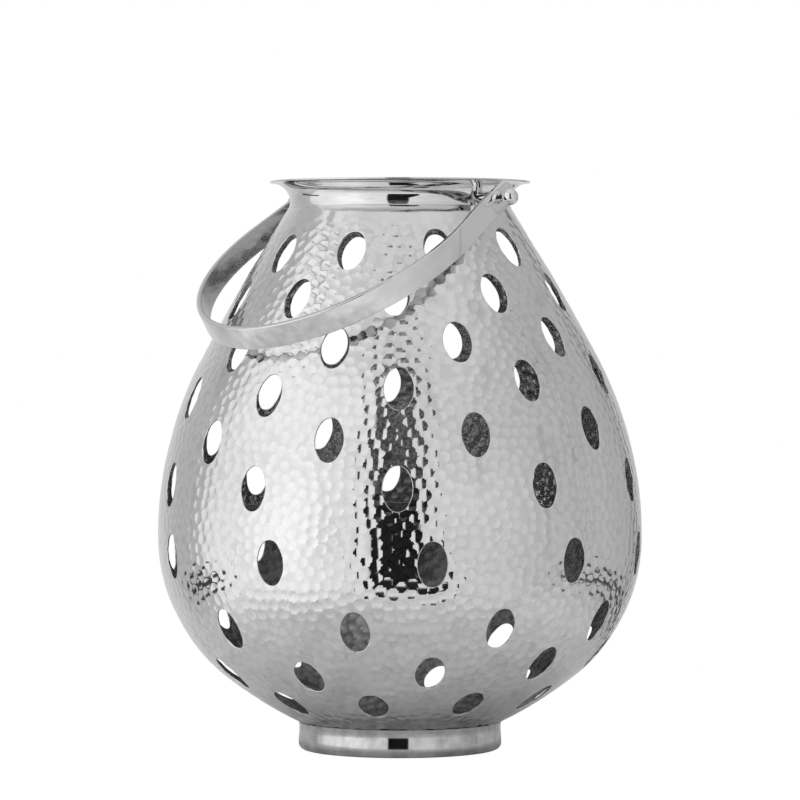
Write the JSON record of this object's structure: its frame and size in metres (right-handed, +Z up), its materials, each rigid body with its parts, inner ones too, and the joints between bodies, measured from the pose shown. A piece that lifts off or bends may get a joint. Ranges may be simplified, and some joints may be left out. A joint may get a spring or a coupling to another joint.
{
  "type": "candle lantern",
  "caption": "Pear-shaped hammered steel candle lantern with oval punched holes, a flared open neck, a foot ring and a flat strap bail handle.",
  "frame": {"origin": "on the ground under the centre of the body", "axes": "+Z up through the open neck; the bail turns about an axis along X and rests drooping towards -Y, the front"},
  "size_m": [0.271, 0.271, 0.3176],
  "materials": {
    "hammered_steel": "hammered all over and polished bright",
    "polished_steel": "smooth mirror polish",
    "plain_steel": "plain bright steel"
  },
  "bodies": {
    "lantern_body": {"lower_shell": "hammered_steel", "upper_shell": "hammered_steel", "neck_collar": "polished_steel", "foot_ring": "polished_steel", "right_stud": "plain_steel", "left_stud": "plain_steel", "right_spacer": "polished_steel", "left_spacer": "polished_steel", "right_ball_knob": "polished_steel", "left_ball_knob": "polished_steel", "right_inner_washer": "plain_steel", "left_inner_washer": "plain_steel", "right_inner_nut": "plain_steel", "left_inner_nut": "plain_steel"},
    "bail": {"bail_handle": "polished_steel"}
  },
  "joints": [
    {"name": "bail_swing", "type": "hinge", "parent": "lantern_body", "child": "bail", "pos_m": [0, 0, 0.3072], "axis": [-1, 0, 0], "range_deg": [-1.5, 247.5]}
  ]
}
